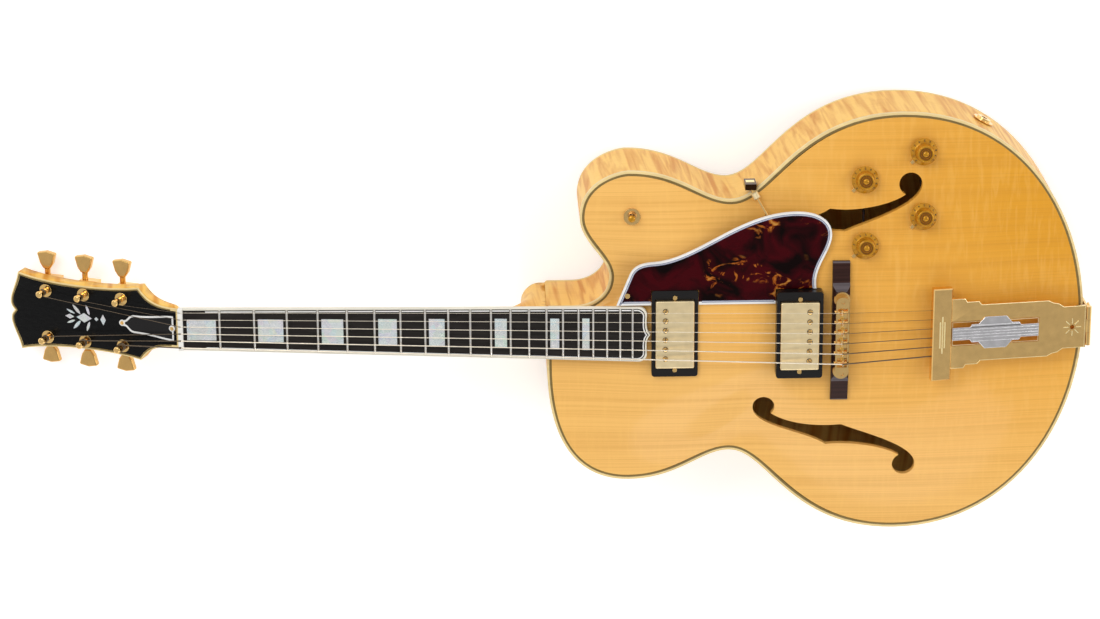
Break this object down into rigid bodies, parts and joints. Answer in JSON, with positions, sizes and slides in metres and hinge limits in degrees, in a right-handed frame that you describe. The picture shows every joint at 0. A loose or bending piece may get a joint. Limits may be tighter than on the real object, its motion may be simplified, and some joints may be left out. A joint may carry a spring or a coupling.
{
  "type": "archtop electric guitar",
  "caption": "Hollow archtop electric guitar with a rounded cutaway, f-holes, humbucking pickups, floating bridge, trapeze tailpiece and bound fingerboard with block inlays.",
  "frame": {"origin": "lowest flat of the arched back, on the centre line, below the bridge", "axes": "+X from the head to the tail, +Y to the treble side with the cutaway, +Z out of the top"},
  "size_m": [1.0805, 0.433, 0.1467],
  "materials": {
    "spruce": "gloss honey varnish on straight-grained spruce",
    "maple": "gloss varnish on flamed maple",
    "inner_wood": "bare wood",
    "ebony": "oiled ebony",
    "binding": "cream binding",
    "black_plastic": "black plastic",
    "bone": "bone nut",
    "pearl": "mother-of-pearl",
    "gold": "gold plate",
    "nickel": "polished nickel",
    "steel": "plain steel",
    "tortoise": "dark tortoise plastic",
    "amber": "clear amber plastic",
    "wire": "insulated wire"
  },
  "bodies": {
    "guitar": {"top_plate": "spruce", "back_plate": "maple", "rims": "maple", "inner_frame": "inner_wood", "body_bindings": "binding", "neck": "maple", "neck_bindings": "binding", "truss_rod": "steel", "headstock_overlay": "ebony", "truss_rod_cover": "black_plastic", "string_nut": "bone", "fingerboard": "ebony", "frets": "nickel", "pearl_inlays": "pearl", "tuner_housings": "gold", "tuner_bushings": "gold", "strings": "nickel", "bridge_base": "ebony", "bridge_posts": "gold", "tailpiece_frame": "gold", "tailpiece_insert": "nickel", "tailpiece_bracket": "gold", "strap_button": "gold", "pickup_rings": "black_plastic", "pots": "steel", "switch_body": "steel", "output_jack": "gold", "wiring_harness": "wire", "pickguard": "tortoise", "pickguard_binding": "binding", "pickguard_bracket": "gold", "small_screws": "gold"},
    "tuner_post_1": {"tuner_post_1": "gold"},
    "tuner_key_1": {"tuner_key_1": "gold"},
    "tuner_post_2": {"tuner_post_2": "gold"},
    "tuner_key_2": {"tuner_key_2": "gold"},
    "tuner_post_3": {"tuner_post_3": "gold"},
    "tuner_key_3": {"tuner_key_3": "gold"},
    "tuner_post_4": {"tuner_post_4": "gold"},
    "tuner_key_4": {"tuner_key_4": "gold"},
    "tuner_post_5": {"tuner_post_5": "gold"},
    "tuner_key_5": {"tuner_key_5": "gold"},
    "tuner_post_6": {"tuner_post_6": "gold"},
    "tuner_key_6": {"tuner_key_6": "gold"},
    "thumbwheel_treble": {"thumbwheel_treble": "gold"},
    "thumbwheel_bass": {"thumbwheel_bass": "gold"},
    "bridge_bar": {"bridge_bar": "gold"},
    "saddle_1": {"saddle_1": "gold"},
    "saddle_2": {"saddle_2": "gold"},
    "saddle_3": {"saddle_3": "gold"},
    "saddle_4": {"saddle_4": "gold"},
    "saddle_5": {"saddle_5": "gold"},
    "saddle_6": {"saddle_6": "gold"},
    "neck_pickup": {"neck_pickup": "gold"},
    "bridge_pickup": {"bridge_pickup": "gold"},
    "knob_1": {"knob_1": "amber"},
    "knob_2": {"knob_2": "amber"},
    "knob_3": {"knob_3": "amber"},
    "knob_4": {"knob_4": "amber"},
    "toggle_lever": {"toggle_lever": "steel"}
  },
  "joints": [
    {"name": "tuner_key_turn_1", "type": "hinge", "parent": "guitar", "child": "tuner_key_1", "pos_m": [-0.70788, 0.0245, 0.04236], "axis": [0, 1, 0], "continuous": true},
    {"name": "tuner_post_turn_1", "type": "hinge", "parent": "guitar", "child": "tuner_post_1", "pos_m": [-0.70787, 0.0245, 0.06454], "axis": [-0.3649, 0, 0.9311], "continuous": true},
    {"name": "tuner_key_turn_2", "type": "hinge", "parent": "guitar", "child": "tuner_key_2", "pos_m": [-0.74679, 0.0245, 0.02711], "axis": [0, 1, 0], "continuous": true},
    {"name": "tuner_post_turn_2", "type": "hinge", "parent": "guitar", "child": "tuner_post_2", "pos_m": [-0.74679, 0.0245, 0.04929], "axis": [-0.3649, 0, 0.9311], "continuous": true},
    {"name": "tuner_key_turn_3", "type": "hinge", "parent": "guitar", "child": "tuner_key_3", "pos_m": [-0.78571, 0.0245, 0.01186], "axis": [0, 1, 0], "continuous": true},
    {"name": "tuner_post_turn_3", "type": "hinge", "parent": "guitar", "child": "tuner_post_3", "pos_m": [-0.7857, 0.0245, 0.03404], "axis": [-0.3649, 0, 0.9311], "continuous": true},
    {"name": "tuner_key_turn_4", "type": "hinge", "parent": "guitar", "child": "tuner_key_4", "pos_m": [-0.70788, -0.0245, 0.04236], "axis": [0, 1, 0], "continuous": true},
    {"name": "tuner_post_turn_4", "type": "hinge", "parent": "guitar", "child": "tuner_post_4", "pos_m": [-0.70787, -0.0245, 0.06454], "axis": [-0.3649, 0, 0.9311], "continuous": true},
    {"name": "tuner_key_turn_5", "type": "hinge", "parent": "guitar", "child": "tuner_key_5", "pos_m": [-0.74679, -0.0245, 0.02711], "axis": [0, 1, 0], "continuous": true},
    {"name": "tuner_post_turn_5", "type": "hinge", "parent": "guitar", "child": "tuner_post_5", "pos_m": [-0.74679, -0.0245, 0.04929], "axis": [-0.3649, 0, 0.9311], "continuous": true},
    {"name": "tuner_key_turn_6", "type": "hinge", "parent": "guitar", "child": "tuner_key_6", "pos_m": [-0.78571, -0.0245, 0.01186], "axis": [0, 1, 0], "continuous": true},
    {"name": "tuner_post_turn_6", "type": "hinge", "parent": "guitar", "child": "tuner_post_6", "pos_m": [-0.7857, -0.0245, 0.03404], "axis": [-0.3649, 0, 0.9311], "continuous": true},
    {"name": "bridge_height", "type": "slide", "parent": "guitar", "child": "bridge_bar", "axis": [0, 0, 1], "range_m": [-0.002, 0.002], "deforming": ["strings"]},
    {"name": "thumbwheel_turn_treble", "type": "hinge", "parent": "bridge_bar", "child": "thumbwheel_treble", "pos_m": [0.001, 0.037, 0.13605], "axis": [0, 0, 1], "range_deg": [-920, 920]},
    {"name": "thumbwheel_turn_bass", "type": "hinge", "parent": "bridge_bar", "child": "thumbwheel_bass", "pos_m": [0.001, -0.037, 0.13605], "axis": [0, 0, 1], "range_deg": [-920, 920]},
    {"name": "saddle_slide_1", "type": "slide", "parent": "bridge_bar", "child": "saddle_1", "axis": [1, 0, 0], "range_m": [-0.0015, 0.0015]},
    {"name": "saddle_slide_2", "type": "slide", "parent": "bridge_bar", "child": "saddle_2", "axis": [1, 0, 0], "range_m": [-0.0015, 0.0015]},
    {"name": "saddle_slide_3", "type": "slide", "parent": "bridge_bar", "child": "saddle_3", "axis": [1, 0, 0], "range_m": [-0.0015, 0.0015]},
    {"name": "saddle_slide_4", "type": "slide", "parent": "bridge_bar", "child": "saddle_4", "axis": [1, 0, 0], "range_m": [-0.0015, 0.0015]},
    {"name": "saddle_slide_5", "type": "slide", "parent": "bridge_bar", "child": "saddle_5", "axis": [1, 0, 0], "range_m": [-0.0015, 0.0015]},
    {"name": "saddle_slide_6", "type": "slide", "parent": "bridge_bar", "child": "saddle_6", "axis": [1, 0, 0], "range_m": [-0.0015, 0.0015]},
    {"name": "neck_pickup_height", "type": "slide", "parent": "guitar", "child": "neck_pickup", "axis": [0, 0, 1], "range_m": [-0.0015, 0.0015]},
    {"name": "bridge_pickup_height", "type": "slide", "parent": "guitar", "child": "bridge_pickup", "axis": [0, 0, 1], "range_m": [-0.0015, 0.0015]},
    {"name": "knob_turn_1", "type": "hinge", "parent": "guitar", "child": "knob_1", "pos_m": [0.0804, 0.17818, 0.10483], "axis": [0.0147, 0.0901, 0.9958], "range_deg": [-225, 75]},
    {"name": "knob_turn_2", "type": "hinge", "parent": "guitar", "child": "knob_2", "pos_m": [0.0234, 0.15133, 0.10802], "axis": [-0.0215, 0.14, 0.9899], "range_deg": [-225, 75]},
    {"name": "knob_turn_3", "type": "hinge", "parent": "guitar", "child": "knob_3", "pos_m": [0.0806, 0.11474, 0.11274], "axis": [0.039, 0.1322, 0.9905], "range_deg": [-225, 75]},
    {"name": "knob_turn_4", "type": "hinge", "parent": "guitar", "child": "knob_4", "pos_m": [0.024, 0.08703, 0.11703], "axis": [-0.0039, 0.1069, 0.9943], "range_deg": [-225, 75]},
    {"name": "toggle_throw", "type": "hinge", "parent": "guitar", "child": "toggle_lever", "pos_m": [-0.20324, 0.11607, 0.10684], "axis": [0.0036, 0.9942, -0.1079], "range_deg": [-12, 12]}
  ],
  "couplings": [
    {"joint": "tuner_post_turn_1", "follows": "tuner_key_turn_1", "ratio": 0.0625},
    {"joint": "tuner_post_turn_2", "follows": "tuner_key_turn_2", "ratio": 0.0625},
    {"joint": "tuner_post_turn_3", "follows": "tuner_key_turn_3", "ratio": 0.0625},
    {"joint": "tuner_post_turn_4", "follows": "tuner_key_turn_4", "ratio": -0.0625},
    {"joint": "tuner_post_turn_5", "follows": "tuner_key_turn_5", "ratio": -0.0625},
    {"joint": "tuner_post_turn_6", "follows": "tuner_key_turn_6", "ratio": -0.0625},
    {"joint": "thumbwheel_turn_treble", "follows": "bridge_height", "rad_per_m": 7854},
    {"joint": "thumbwheel_turn_bass", "follows": "bridge_height", "rad_per_m": 7854}
  ]
}
